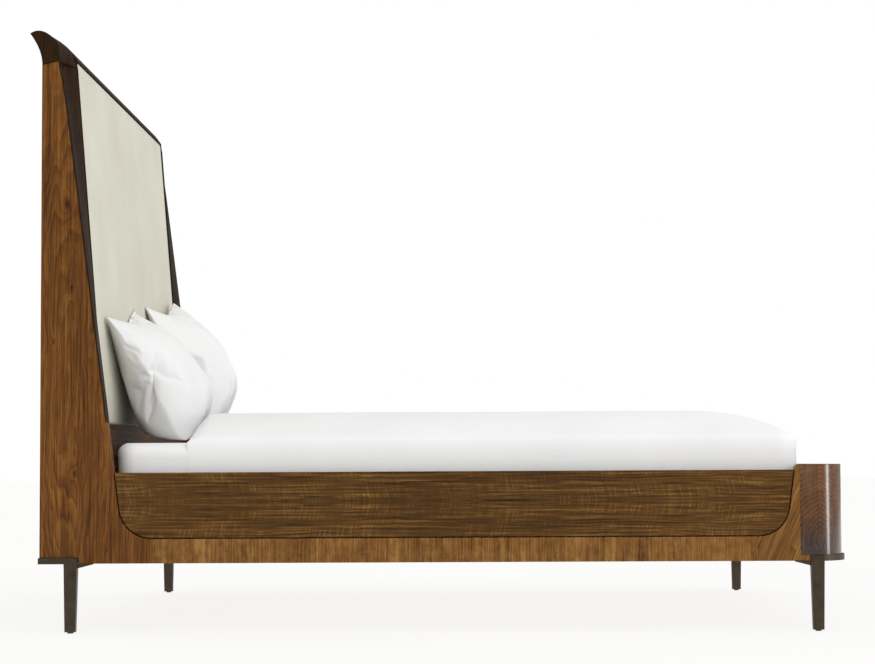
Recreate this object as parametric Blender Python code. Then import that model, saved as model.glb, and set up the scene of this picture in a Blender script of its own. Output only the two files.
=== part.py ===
"""Sleigh bed, king size: a walnut frame on bronze legs, with a raked headboard, a mattress and two pillows.

+X runs from the headboard to the footboard, +Z is up, and the origin is on the floor under the
middle of the whole bed. Left and right are as seen by someone who stands at the foot and faces
the headboard, so left is the -Y side. In the functions, x is measured from the headboard's rear
face towards the foot, and d from the bed's side face inwards.
"""

import math

import bmesh
import bpy
from mathutils import Matrix

# Clearance between pieces that touch.
GAP = 0.0003

# Mattress and the space around it.
MATTRESS_LENGTH = 2.032
MATTRESS_WIDTH = 1.930
MATTRESS_THICKNESS = 0.225
MATTRESS_BOTTOM = 0.335
MATTRESS_SIDE_CLEARANCE = 0.015
MATTRESS_HEAD_CLEARANCE = 0.058
MATTRESS_FOOT_CLEARANCE = 0.007
MATTRESS_CORNER = 0.060
MATTRESS_SHOULDER = (0.012, 0.012)

# The duvet starts clear of the pillows and swells to a crown: height, then reach inwards.
DUVET_START = 0.225
DUVET_INSET = 0.012
DUVET_EDGE = 0.012
DUVET_CROWN = (0.083, 0.240)

# Sides: the headboard's side boards, the sled rails and the footboard's returns are one thickness.
SIDE_THICKNESS = 0.040
RAIL_BOTTOM = 0.204
SLED_HEIGHT = 0.0715
RAIL_TOP = 0.471
PANEL_SETBACK = 0.004
SHADOW_GAP = 0.003
RAIL_RAKE = 0.1288
HEAD_ARC = 0.100
FOOT_ARC = 0.095
HEAD_JOINT = 0.3335
FOOT_JOINT = 0.126
NOTCH_CLEARANCE = 0.003

# Headboard.
HEAD_DEPTH = 0.2180
SHOULDER_HEIGHT = 1.689
SHOULDER_RISE = 0.013
FLARE_START = 1.520
FLARE = 0.216
BACK_PANEL = 0.012
POST_WIDTH = 0.060
POST_SETBACK = 0.030
POST_STEP = 0.005
LOWER_PANEL = 0.020
LOWER_SETBACK = 0.008
HEAD_SILL = (0.050, 0.110)
PAD_BOTTOM = 0.620
PAD_RISE = 0.041
PAD_DEPTH = 0.163
PAD_RAKE = 0.0795
PAD_THICKNESS = 0.035
PAD_BOARD = 0.015
TRIM_WIDTH = 0.140
TRIM_THICKNESS = 0.020
TRIM_EDGE = 0.004
TRIM_LIP = 0.004
CREST_OVERHANG = 0.0395
CREST_TIP = 0.097
CREST_NOSE = (0.0565, 0.0717)
CREST_ROUNDING = (0.002, 0.0005, 0.014)
CREST_SWEEP = 0.47
CREST_ROLL = ((0.0215, 0.0165), (0.0345, 0.0125))
CREST_ROLL_EASING = (0.001, 0.004, 0.001)
CREST_DROP = (0.011, 0.013)
CREST_DROP_EASING = 0.002
REBATE_CLEARANCE = 0.0044
CROSS_RAIL = 0.070

# Footboard.
FOOT_TOP = 0.487
RETURN_SETBACK = 0.015
RETURN_CORNER = 0.012
BOW_DEPTH = 0.139
BOW_RADIUS = 0.1355
BOW_THICKNESS = 0.020
INNER_PANEL = 0.018
INNER_SETBACK = 0.0105
CAP_THICKNESS = 0.012
FOOT_SILL_HEIGHT = 0.080

# Legs and corner plates.
PLATE_THICKNESS = 0.018
PLATE_DROP = 0.001
PLATE_LIP = 0.008
PLATE_REAR_LIP = 0.003
PLATE_WIDTH = 0.120
PLATE_BEYOND_BOW = 0.040
LEG_TOP = (0.040, 0.0285)
LEG_BOTTOM = (0.032, 0.0205)
HEAD_LEG_X = 0.093
FOOT_LEG_INSET = 0.0915
GUSSET_LENGTH = 0.045
GUSSET_DEPTH = 0.015
GUSSET_TOE = 0.002
GUSSET_ROOT = 0.006
GUSSET_SIDES = (-0.002, 0.0165)
CASTING_STEP = 0.001
LEG_PROUD = 0.0005
GLIDE_HEIGHT = 0.004
GLIDE_RADIUS = 0.009

# Bedding support.
SLAT_COUNT = 13
SLAT_WIDTH = 0.075
SLAT_THICKNESS = 0.020
SLAT_END_CLEARANCE = 0.008
SLAT_MARGINS = (0.030, 0.020)
LEDGER_WIDTH = 0.035
LEDGER_HEIGHT = 0.052
BEAM_WIDTH = 0.050
BEAM_HEIGHT = 0.088
HANGER_STEEL = 0.004
HANGER_SEAT = 0.045
HANGER_WIDTH = 0.090
BRACKET_LENGTH = 0.130
BRACKET_HEIGHT = 0.046
BRACKET_STEEL = 0.004
BRACKET_DROP = 0.003

# Pillows: width, height, thickness, then how each leans: distance from its middle to the
# upholstery, height of its middle over the mattress, lean in degrees.
PILLOW = (0.600, 0.430, 0.170)
PILLOW_OFFSET = 0.418
PILLOW_ROLL = 7.0
PILLOW_SQUARENESS = 0.62
LEFT_PILLOW = (0.1255, 0.230, 27.0)
RIGHT_PILLOW = (0.1209, 0.285, 20.0)

# Values that follow from the ones above.
BED_WIDTH = MATTRESS_WIDTH + 2 * (SIDE_THICKNESS + MATTRESS_SIDE_CLEARANCE)
HALF_WIDTH = BED_WIDTH / 2
PAD_TOP = SHOULDER_HEIGHT + PAD_RISE
LOWER_FACE = PAD_DEPTH - LOWER_SETBACK
MATTRESS_HEAD = LOWER_FACE + MATTRESS_HEAD_CLEARANCE
MATTRESS_TOP = MATTRESS_BOTTOM + MATTRESS_THICKNESS
FOOT_SEAM = MATTRESS_HEAD + MATTRESS_LENGTH + MATTRESS_FOOT_CLEARANCE - INNER_SETBACK
FOOT_FACE = FOOT_SEAM + BOW_DEPTH
BED_LENGTH = CREST_OVERHANG + FOOT_FACE + PLATE_LIP
REAR_X = CREST_OVERHANG - BED_LENGTH / 2
SLED_TOP = RAIL_BOTTOM + SLED_HEIGHT
PLATE_BOTTOM = RAIL_BOTTOM - PLATE_DROP
PLATE_TOP = PLATE_BOTTOM + PLATE_THICKNESS
WOOD_BOTTOM = PLATE_TOP + GAP
SLAT_TOP = MATTRESS_BOTTOM - GAP
LEDGER_TOP = SLAT_TOP - SLAT_THICKNESS - GAP
HEAD_PLATE_END = HEAD_LEG_X + LEG_TOP[0] / 2
FOOT_LEG_X = FOOT_FACE - FOOT_LEG_INSET
FOOT_PLATE_START = FOOT_LEG_X - LEG_TOP[0] / 2

WALNUT = ((0.205, 0.098, 0.038), 0.38, 0.0)
INNER_WOOD = ((0.420, 0.285, 0.155), 0.65, 0.0)
EBONISED = ((0.028, 0.020, 0.015), 0.35, 0.0)
BRONZE = ((0.060, 0.048, 0.038), 0.38, 0.9)
STEEL = ((0.330, 0.330, 0.330), 0.40, 1.0)
LINEN = ((0.680, 0.660, 0.570), 0.85, 0.0)
COTTON = ((0.850, 0.850, 0.850), 0.90, 0.0)
NYLON = ((0.050, 0.050, 0.050), 0.60, 0.0)

LEFT, RIGHT = -1, 1
SIDES = (("left", LEFT), ("right", RIGHT))


def clear_scene():
    for item in list(bpy.data.objects):
        bpy.data.objects.remove(item, do_unlink=True)


def finish(name, look):
    """A Principled material with a colour, a roughness and a metallic value."""
    colour, roughness, metallic = look
    material = bpy.data.materials.new(name + "_finish")
    material.use_nodes = True
    shader = material.node_tree.nodes["Principled BSDF"]
    shader.inputs["Base Color"].default_value = (*colour, 1.0)
    shader.inputs["Roughness"].default_value = roughness
    shader.inputs["Metallic"].default_value = metallic
    material.diffuse_color = (*colour, 1.0)
    return material


def piece(name, mesh, look, parent=None, smooth=False):
    """Puts a bmesh, in bed coordinates, into the scene as one named object."""
    bmesh.ops.recalc_face_normals(mesh, faces=mesh.faces)
    data = bpy.data.meshes.new(name)
    mesh.to_mesh(data)
    mesh.free()
    if smooth:
        data.shade_smooth()
        data.set_sharp_from_angle(angle=math.radians(35))
    data.materials.append(finish(name, look))
    item = bpy.data.objects.new(name, data)
    bpy.context.scene.collection.objects.link(item)
    if parent is not None:
        item.parent = parent
    return item


def side_y(side, depth):
    """The place across the bed at a depth inwards from the left or right side face."""
    return side * (HALF_WIDTH - depth)


def add_prism(mesh, outline, place, start, end):
    """Extrudes an outline from start to end; place turns (a, b, along) into a bed coordinate."""
    first = [mesh.verts.new(place(a, b, start)) for a, b in outline]
    last = [mesh.verts.new(place(a, b, end)) for a, b in outline]
    mesh.faces.new(first)
    mesh.faces.new(list(reversed(last)))
    count = len(outline)
    for index in range(count):
        after = (index + 1) % count
        mesh.faces.new((first[after], first[index], last[index], last[after]))


def from_side(a, b, along):
    """Outline (x, z), extruded across the bed."""
    return (REAR_X + a, along, b)


def from_above(a, b, along):
    """Outline (x, y), extruded upwards."""
    return (REAR_X + a, b, along)


def rectangle(low_a, high_a, low_b, high_b):
    return [(low_a, low_b), (high_a, low_b), (high_a, high_b), (low_a, high_b)]


def block(name, x_range, y_range, z_range, look):
    mesh = bmesh.new()
    add_prism(mesh, rectangle(*x_range, *z_range), from_side, *y_range)
    return piece(name, mesh, look)


def side_board(name, outline, side, depths, look):
    """A board whose side view is the outline, between two depths from the bed's side face."""
    mesh = bmesh.new()
    add_prism(mesh, outline, from_side, side_y(side, depths[0]), side_y(side, depths[1]))
    return piece(name, mesh, look)


def loft(name, sections, look):
    """Joins closed sections of equal point counts, each a list of bed coordinates, and caps the ends."""
    mesh = bmesh.new()
    rings = [[mesh.verts.new(point) for point in section] for section in sections]
    for ring, after in zip(rings, rings[1:]):
        for index in range(len(ring)):
            following = (index + 1) % len(ring)
            mesh.faces.new((ring[index], ring[following], after[following], after[index]))
    mesh.faces.new(list(reversed(rings[0])))
    mesh.faces.new(rings[-1])
    return piece(name, mesh, look, smooth=True)


def bezier(points, steps):
    """Points along a Bezier curve of any order, its two ends included."""
    curve = []
    for step in range(steps + 1):
        t = step / steps
        level = list(points)
        while len(level) > 1:
            level = [tuple(a + (b - a) * t for a, b in zip(p, q)) for p, q in zip(level, level[1:])]
        curve.append(level[0])
    return curve


def fillet(corner, before, after, radius, steps=8):
    """An arc that rounds a corner between the directions of the points before and after it."""
    into = (before[0] - corner[0], before[1] - corner[1])
    out = (after[0] - corner[0], after[1] - corner[1])
    into_length, out_length = math.hypot(*into), math.hypot(*out)
    into = (into[0] / into_length, into[1] / into_length)
    out = (out[0] / out_length, out[1] / out_length)
    half = math.acos(into[0] * out[0] + into[1] * out[1]) / 2
    reach = radius / math.tan(half)
    middle = (into[0] + out[0], into[1] + out[1])
    spread = radius / math.sin(half) / math.hypot(*middle)
    centre = (corner[0] + middle[0] * spread, corner[1] + middle[1] * spread)
    start = (corner[0] + into[0] * reach, corner[1] + into[1] * reach)
    end = (corner[0] + out[0] * reach, corner[1] + out[1] * reach)
    angle = math.atan2(start[1] - centre[1], start[0] - centre[0])
    turn = math.atan2(end[1] - centre[1], end[0] - centre[0]) - angle
    turn = (turn + math.pi) % (2 * math.pi) - math.pi
    return [
        (centre[0] + radius * math.cos(angle + turn * step / steps),
         centre[1] + radius * math.sin(angle + turn * step / steps))
        for step in range(steps + 1)
    ]


def side_front(z):
    """The front edge of the headboard's side boards: a straight rake that flares back near the top."""
    flare = FLARE * max(0.0, z - FLARE_START) ** 2
    return HEAD_DEPTH - RAIL_RAKE * (z - RAIL_TOP) - flare


def pad_front(z):
    """The face of the upholstered panel, raked less than the side boards."""
    return PAD_DEPTH - PAD_RAKE * (z - PAD_BOTTOM)


def foot_edge(z):
    """The raked inner edge of the footboard's returns."""
    return FOOT_SEAM - RETURN_SETBACK - RAIL_RAKE * (RAIL_TOP - z)


def head_arc(offset):
    """The sweep from the headboard's raked edge into the sled rail, or a line drawn beside it."""
    bottom = SLED_TOP + offset
    shift = offset * math.hypot(1.0, RAIL_RAKE)
    corner = (side_front(bottom) + shift, bottom)
    above = (side_front(RAIL_TOP) + shift, RAIL_TOP)
    return [above] + fillet(corner, above, (corner[0] + 1.0, bottom), HEAD_ARC - offset)


def foot_arc(offset):
    """The matching sweep at the foot, from the sled rail up to the return."""
    bottom = SLED_TOP + offset
    shift = offset * math.hypot(1.0, RAIL_RAKE)
    corner = (foot_edge(bottom) - shift, bottom)
    above = (foot_edge(RAIL_TOP) - shift, RAIL_TOP)
    return fillet(corner, (corner[0] - 1.0, bottom), above, FOOT_ARC - offset) + [above]


def shoulder(x):
    """The height of the joint under the crest: it rises from the rear to the side board's front edge."""
    front = side_front(SHOULDER_HEIGHT + SHOULDER_RISE)
    return SHOULDER_HEIGHT + SHOULDER_RISE * min(1.0, x / front)


def trim_heights():
    """Stations from the joint under the crest down to the foot of the trim."""
    top = SHOULDER_HEIGHT + SHOULDER_RISE
    return [top + (PAD_BOTTOM - top) * step / 16 for step in range(17)]


def build_headboard_side(name, side):
    """A side board: rear edge, shoulder, raked front edge and the sweep down to the sled rail."""
    outline = [(0.0, WOOD_BOTTOM), (0.0, SHOULDER_HEIGHT)]
    edge = [(side_front(z) - TRIM_EDGE - GAP, z) for z in trim_heights()]
    outline += [(x, min(z, shoulder(x))) for x, z in edge]
    outline += [(side_front(PAD_BOTTOM - GAP), PAD_BOTTOM - GAP)]
    outline += head_arc(0.0)
    outline += [(HEAD_JOINT, SLED_TOP), (HEAD_JOINT, RAIL_BOTTOM)]
    notch = HEAD_PLATE_END + NOTCH_CLEARANCE
    outline += [(notch, RAIL_BOTTOM), (notch, WOOD_BOTTOM)]
    return side_board(name, outline, side, (0.0, SIDE_THICKNESS), WALNUT)


def build_sled_rail(name, side):
    outline = rectangle(HEAD_JOINT + GAP, FOOT_SEAM - FOOT_JOINT - GAP, RAIL_BOTTOM, SLED_TOP)
    return side_board(name, outline, side, (0.0, SIDE_THICKNESS), WALNUT)


def build_side_rail(name, side):
    """The long side panel, set in the sweep of the sled with a shadow gap all round."""
    outline = head_arc(SHADOW_GAP) + foot_arc(SHADOW_GAP)
    return side_board(name, outline, side, (PANEL_SETBACK, SIDE_THICKNESS), WALNUT)


def build_return(name, side):
    """The footboard's return: the sled turns up here into the footboard's side."""
    top_edge = foot_edge(FOOT_TOP)
    below = (foot_edge(RAIL_TOP), RAIL_TOP)
    corner = fillet((top_edge, FOOT_TOP), below, (FOOT_SEAM, FOOT_TOP), RETURN_CORNER, 4)
    toe = FOOT_PLATE_START - GAP
    outline = foot_arc(0.0) + corner
    outline += [(FOOT_SEAM - GAP, FOOT_TOP), (FOOT_SEAM - GAP, WOOD_BOTTOM - GAP)]
    outline += [(toe, WOOD_BOTTOM - GAP), (toe, RAIL_BOTTOM)]
    outline += [(FOOT_SEAM - FOOT_JOINT, RAIL_BOTTOM), (FOOT_SEAM - FOOT_JOINT, SLED_TOP)]
    return side_board(name, outline, side, (0.0, SIDE_THICKNESS), WALNUT)


def build_post(name, side):
    """An inner post, tapered so that it stays behind the trim and the lower panel."""
    top = SHOULDER_HEIGHT - GAP
    front = [top + (PAD_BOTTOM - top) * step / 8 for step in range(9)]
    back = BACK_PANEL + GAP
    limit = LOWER_FACE - LOWER_PANEL - GAP
    outline = [(back, WOOD_BOTTOM), (back, top)]
    outline += [(min(side_front(z), pad_front(z), limit + POST_SETBACK) - POST_SETBACK, z) for z in front]
    outline += [(limit, PAD_BOTTOM - POST_STEP), (limit, WOOD_BOTTOM)]
    depths = (SIDE_THICKNESS + GAP, SIDE_THICKNESS + GAP + POST_WIDTH)
    return side_board(name, outline, side, depths, INNER_WOOD)


def build_cross_rail(name, low, high):
    """A rail between the posts whose front face follows the rake of the upholstery board."""
    reach = PAD_THICKNESS + PAD_BOARD + 2 * GAP
    outline = [
        (BACK_PANEL + GAP, low),
        (pad_front(low) - reach, low),
        (pad_front(high) - reach, high),
        (BACK_PANEL + GAP, high),
    ]
    mesh = bmesh.new()
    half = HALF_WIDTH - SIDE_THICKNESS - POST_WIDTH - 2 * GAP
    add_prism(mesh, outline, from_side, -half, half)
    return piece(name, mesh, INNER_WOOD)


def build_raked_panel(name, front, thickness, look):
    """A flat panel parallel to the upholstery's face, set back from it by front."""
    low, high = PAD_BOTTOM + GAP, PAD_TOP - GAP
    outline = [
        (pad_front(low) - front - thickness, low),
        (pad_front(low) - front, low),
        (pad_front(high) - front, high),
        (pad_front(high) - front - thickness, high),
    ]
    mesh = bmesh.new()
    half = HALF_WIDTH - TRIM_WIDTH - GAP
    add_prism(mesh, outline, from_side, -half, half)
    return piece(name, mesh, look)


def ease(t):
    return t * t * (3.0 - 2.0 * t)


def build_front_trim(name, side):
    """The dark front stile: it wraps the side board's edge and sweeps across to the upholstery."""
    edge = SIDE_THICKNESS + GAP
    inner = TRIM_WIDTH - GAP
    sections = []
    for z in trim_heights():
        outer, inside = side_front(z), pad_front(z) + TRIM_LIP
        face = [(outer, 0.0)]
        for part in range(7):
            depth = edge + (inner - edge) * part / 6
            face.append((outer + (inside - outer) * ease(part / 6), depth))
        section = [(outer - TRIM_EDGE, 0.0)] + face
        section += [(inside - TRIM_THICKNESS, inner)]
        section += [(min(outer, inside) - TRIM_THICKNESS - TRIM_EDGE, edge), (outer - TRIM_EDGE, edge)]
        sections.append([(REAR_X + x, side_y(side, depth), min(z, shoulder(x))) for x, depth in section])
    return loft(name, sections, EBONISED)


def crest_rebate():
    """How far back the crest is cut away for the top of the upholstered panel and its board."""
    return pad_front(PAD_TOP) - PAD_THICKNESS - PAD_BOARD - REBATE_CLEARANCE


def crest_section(share, lip, rebate):
    """The crest in side view; share goes from 0 in the middle to 1 at the rounded end.

    The rear sweeps back from the joint to the tip, the top rolls over to the nose, and the front
    drops to the lip. The underside runs back past the rebate and along the joint.
    """
    joint = SHOULDER_HEIGHT + GAP
    tip = (CREST_ROUNDING[0] * share - CREST_OVERHANG, joint + CREST_TIP - CREST_ROUNDING[1] * share)
    rear = bezier([(0.0, joint), (0.0, joint + CREST_TIP * CREST_SWEEP), tip], 5)
    nose = (CREST_NOSE[0] - CREST_ROUNDING[2] * share, joint + CREST_NOSE[1])
    rise, run, fall = (value * share for value in CREST_ROLL_EASING)
    rise_in = (tip[0] + CREST_ROLL[0][0], tip[1] + CREST_ROLL[0][1] - rise)
    rise_out = (nose[0] - CREST_ROLL[1][0] + run, tip[1] + CREST_ROLL[1][1] - fall)
    over = bezier([tip, rise_in, rise_out, nose], 8)
    bulge = (nose[0] + CREST_DROP[0] - CREST_DROP_EASING * share, nose[1] - CREST_DROP[1])
    drop = bezier([nose, bulge, lip], 4)
    back = crest_rebate()
    return rear[:-1] + over[:-1] + drop + [rebate, (back, shoulder(back) + GAP)]


def build_crest():
    """The crest rail: one flared section along the whole width, softened towards both ends."""
    bottom = SHOULDER_HEIGHT + SHOULDER_RISE + GAP
    front = side_front(bottom)
    step = TRIM_WIDTH - 4 * GAP
    lip = (pad_front(PAD_TOP) + TRIM_LIP, PAD_TOP)
    sections = []
    for side in (LEFT, RIGHT):
        half = []
        for part in (0.0, 0.12, SIDE_THICKNESS / step, 0.45, 0.65, 0.85, 1.0):
            blend = ease(part)
            end_lip = (front + 2 * GAP + (pad_front(bottom) + TRIM_LIP - front) * blend, bottom)
            outline = crest_section(1.0 - blend, end_lip, (front, bottom))
            half.append([(REAR_X + x, side_y(side, part * step), z) for x, z in outline])
        outline = crest_section(0.0, lip, (crest_rebate() + GAP, PAD_TOP))
        half.append([(REAR_X + x, side_y(side, step + GAP), z) for x, z in outline])
        sections += half if side == LEFT else list(reversed(half))
    return loft("crest_rail", sections, EBONISED)


def bow_outline(inset, start):
    """The bow's plan from one side to the other: straight leaf, round corner, straight face.

    Every inset uses the same angles round the corner, so outlines at two insets stay parallel.
    """
    radius = BOW_RADIUS - inset
    centre = (FOOT_FACE - BOW_RADIUS, BOW_RADIUS - HALF_WIDTH)
    edge = [(min(start, centre[0]), centre[1] - radius)]
    for step in range(11):
        angle = math.pi / 2 * step / 10
        edge.append((centre[0] + radius * math.sin(angle), centre[1] - radius * math.cos(angle)))
    first = edge[0]
    for before, after in zip(edge, edge[1:]):
        if before[0] <= start < after[0]:
            share = (start - before[0]) / (after[0] - before[0])
            first = (start, before[1] + (after[1] - before[1]) * share)
    left = [first] + [point for point in edge if point[0] > start]
    return left + [(x, -y) for x, y in reversed(left)]


def bow_reach(x, inset):
    """Half the width of the footboard's bow at x, measured to a line inset from its outer face."""
    return -bow_outline(inset, x)[0][1]


def build_bow():
    """The wrap-around footboard panel, one bent skin with round vertical corners."""
    mesh = bmesh.new()
    outer = bow_outline(0.0, FOOT_SEAM)
    inner = bow_outline(BOW_THICKNESS, FOOT_SEAM)
    add_prism(mesh, outer + list(reversed(inner)), from_above, WOOD_BOTTOM, FOOT_TOP)
    return piece("footboard_panel", mesh, WALNUT, smooth=True)


def build_cap():
    mesh = bmesh.new()
    start = FOOT_SEAM + INNER_SETBACK + INNER_PANEL + GAP
    outline = bow_outline(BOW_THICKNESS + GAP, start)
    add_prism(mesh, outline, from_above, FOOT_TOP - CAP_THICKNESS, FOOT_TOP)
    return piece("footboard_cap", mesh, WALNUT, smooth=True)


def build_leg(name, end, side):
    """A corner plate with its tapered leg and the gusset under the rail, joined into one casting."""
    at_head = end == "head"
    centre = HEAD_LEG_X if at_head else FOOT_LEG_X
    inwards = 1 if at_head else -1
    lip = side_y(side, -PLATE_LIP)
    plate = bmesh.new()
    if at_head:
        low, high = sorted((lip, side_y(side, PLATE_WIDTH)))
        outline = rectangle(-PLATE_REAR_LIP, HEAD_PLATE_END - CASTING_STEP, low, high)
    else:
        inner = side_y(side, BOW_RADIUS + PLATE_BEYOND_BOW)
        start = FOOT_PLATE_START + CASTING_STEP
        edge = bow_outline(-PLATE_LIP, start)
        edge = [(x, side * abs(y)) for x, y in edge[:len(edge) // 2]]
        outline = [(start, inner)] + edge + [(FOOT_FACE + PLATE_LIP, inner)]
    add_prism(plate, outline, from_above, PLATE_BOTTOM, PLATE_TOP)
    body = piece(name, plate, BRONZE)

    leg = bmesh.new()
    rings = []
    for z, size in ((GLIDE_HEIGHT, LEG_BOTTOM), (PLATE_TOP - CASTING_STEP, LEG_TOP)):
        ends = (centre - size[0] / 2, centre + size[0] / 2)
        depths = (-PLATE_LIP - LEG_PROUD, -PLATE_LIP - LEG_PROUD + size[1])
        corners = rectangle(*ends, *depths)
        rings.append([leg.verts.new((REAR_X + x, side_y(side, d), z)) for x, d in corners])
    leg.faces.new(list(reversed(rings[0])))
    leg.faces.new(rings[1])
    for index in range(4):
        after = (index + 1) % 4
        leg.faces.new((rings[0][index], rings[0][after], rings[1][after], rings[1][index]))
    join(body, piece(name + "_shank", leg, BRONZE))

    gusset = bmesh.new()
    reach = LEG_TOP[0] / 2 + GUSSET_LENGTH
    inside = LEG_TOP[0] / 2 - GUSSET_ROOT
    top = RAIL_BOTTOM - GAP
    outline = [
        (centre + inwards * inside, top),
        (centre + inwards * reach, top),
        (centre + inwards * reach, top - GUSSET_TOE),
        (centre + inwards * inside, top - GUSSET_DEPTH),
    ]
    add_prism(gusset, outline, from_side, side_y(side, GUSSET_SIDES[0]), side_y(side, GUSSET_SIDES[1]))
    join(body, piece(name + "_gusset", gusset, BRONZE))
    return body


def join(body, operand):
    """Unites an operand with a body, and keeps the operand out of the model."""
    operand.hide_render = True
    operand.display_type = "WIRE"
    union = body.modifiers.new("join_" + operand.name, "BOOLEAN")
    union.operation = "UNION"
    union.solver = "EXACT"
    union.object = operand


def build_glide(name, end, side):
    """The nylon pad that the leg stands on."""
    centre_x = REAR_X + (HEAD_LEG_X if end == "head" else FOOT_LEG_X)
    centre_y = side_y(side, LEG_BOTTOM[1] / 2 - PLATE_LIP - LEG_PROUD)
    outline = []
    for step in range(16):
        angle = 2 * math.pi * step / 16
        outline.append((centre_x + GLIDE_RADIUS * math.cos(angle), centre_y + GLIDE_RADIUS * math.sin(angle)))
    mesh = bmesh.new()
    add_prism(mesh, outline, lambda a, b, height: (a, b, height), 0.0, GLIDE_HEIGHT - GAP)
    return piece(name, mesh, NYLON)


def bracket_joints():
    return (("head", HEAD_JOINT), ("foot", FOOT_SEAM - FOOT_JOINT))


def build_bracket(name, joint, side):
    low = LEDGER_TOP - LEDGER_HEIGHT - BRACKET_DROP - BRACKET_HEIGHT
    outline = rectangle(joint - BRACKET_LENGTH / 2, joint + BRACKET_LENGTH / 2, low, low + BRACKET_HEIGHT)
    depths = (SIDE_THICKNESS + GAP, SIDE_THICKNESS + GAP + BRACKET_STEEL)
    return side_board(name, outline, side, depths, STEEL)


def build_hanger(name, wall, direction):
    """An L of sheet steel: an upright against the end panel and a seat under the beam."""
    steel = direction * HANGER_STEEL
    bottom = LEDGER_TOP - BEAM_HEIGHT - GAP - HANGER_STEEL
    outline = [
        (wall, bottom),
        (wall + direction * HANGER_SEAT, bottom),
        (wall + direction * HANGER_SEAT, bottom + HANGER_STEEL),
        (wall + steel, bottom + HANGER_STEEL),
        (wall + steel, LEDGER_TOP),
        (wall, LEDGER_TOP),
    ]
    mesh = bmesh.new()
    add_prism(mesh, outline, from_side, -HANGER_WIDTH / 2, HANGER_WIDTH / 2)
    return piece(name, mesh, STEEL)


def build_support():
    """The ledgers, the centre beam on its two hangers, and the slats."""
    head_wall = LOWER_FACE + GAP
    foot_wall = FOOT_SEAM + INNER_SETBACK - GAP
    for word, side in SIDES:
        outline = rectangle(head_wall, foot_wall, LEDGER_TOP - LEDGER_HEIGHT, LEDGER_TOP)
        depths = (SIDE_THICKNESS + GAP, SIDE_THICKNESS + GAP + LEDGER_WIDTH)
        side_board("slat_ledger_" + word, outline, side, depths, INNER_WOOD)
    beam = (head_wall + HANGER_STEEL + GAP, foot_wall - HANGER_STEEL - GAP)
    heights = (LEDGER_TOP - BEAM_HEIGHT, LEDGER_TOP)
    block("centre_beam", beam, (-BEAM_WIDTH / 2, BEAM_WIDTH / 2), heights, INNER_WOOD)
    build_hanger("beam_hanger_head", head_wall, 1)
    build_hanger("beam_hanger_foot", foot_wall, -1)
    half = HALF_WIDTH - SIDE_THICKNESS - SLAT_END_CLEARANCE
    first = head_wall + SLAT_MARGINS[0] + SLAT_WIDTH / 2
    last = foot_wall - SLAT_MARGINS[1] - SLAT_WIDTH / 2
    for number in range(SLAT_COUNT):
        middle = first + (last - first) * number / (SLAT_COUNT - 1)
        span = (middle - SLAT_WIDTH / 2, middle + SLAT_WIDTH / 2)
        heights = (SLAT_TOP - SLAT_THICKNESS, SLAT_TOP)
        block(f"slat_{number + 1:02d}", span, (-half, half), heights, INNER_WOOD)


def rounded_rectangle(length, width, radius, steps=5):
    outline = []
    for turn, (x, y) in enumerate(((1, 1), (-1, 1), (-1, -1), (1, -1))):
        for step in range(steps + 1):
            angle = math.pi / 2 * (turn + step / steps)
            outline.append((
                x * (length / 2 - radius) + radius * math.cos(angle),
                y * (width / 2 - radius) + radius * math.sin(angle),
            ))
    return outline


def build_soft_block(name, start, length, width, bottom, side, crown):
    """A soft slab: upright sides, round corners, and a shoulder that swells in to a crowned top."""
    middle = REAR_X + start + length / 2
    layers = [(0.010, 0.0), (0.0, 0.010), (0.0, side)]
    for step in range(1, 6):
        angle = math.pi / 2 * step / 5
        layers.append((crown[1] * (1.0 - math.cos(angle)), side + crown[0] * math.sin(angle)))
    sections = []
    for inset, z in layers:
        radius = MATTRESS_CORNER + 0.5 * inset
        outline = rounded_rectangle(length - 2 * inset, width - 2 * inset, radius)
        sections.append([(middle + x, y, bottom + z) for x, y in outline])
    return loft(name, sections, COTTON)


def build_pillow(name, parent, side, stance):
    """A plump pillow that leans back: a ball squared off to the pillow's outline, thinning to its seam."""
    clearance, rise, lean = stance
    height = MATTRESS_TOP + rise
    reach = pad_front(height) + clearance
    mesh = bmesh.new()
    bmesh.ops.create_uvsphere(mesh, u_segments=20, v_segments=12, radius=1.0)
    for corner in mesh.verts:
        across, up = (math.copysign(abs(value) ** PILLOW_SQUARENESS, value) for value in corner.co[1:])
        corner.co = (corner.co[0] * PILLOW[2] / 2, across * PILLOW[0] / 2, up * PILLOW[1] / 2)
    turn = Matrix.Rotation(-math.radians(lean), 4, "Y") @ Matrix.Rotation(math.radians(PILLOW_ROLL), 4, "X")
    place = Matrix.Translation((REAR_X + reach, side * PILLOW_OFFSET, height))
    bmesh.ops.transform(mesh, matrix=place @ turn, verts=mesh.verts)
    return piece(name, mesh, COTTON, parent, smooth=True)


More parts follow.
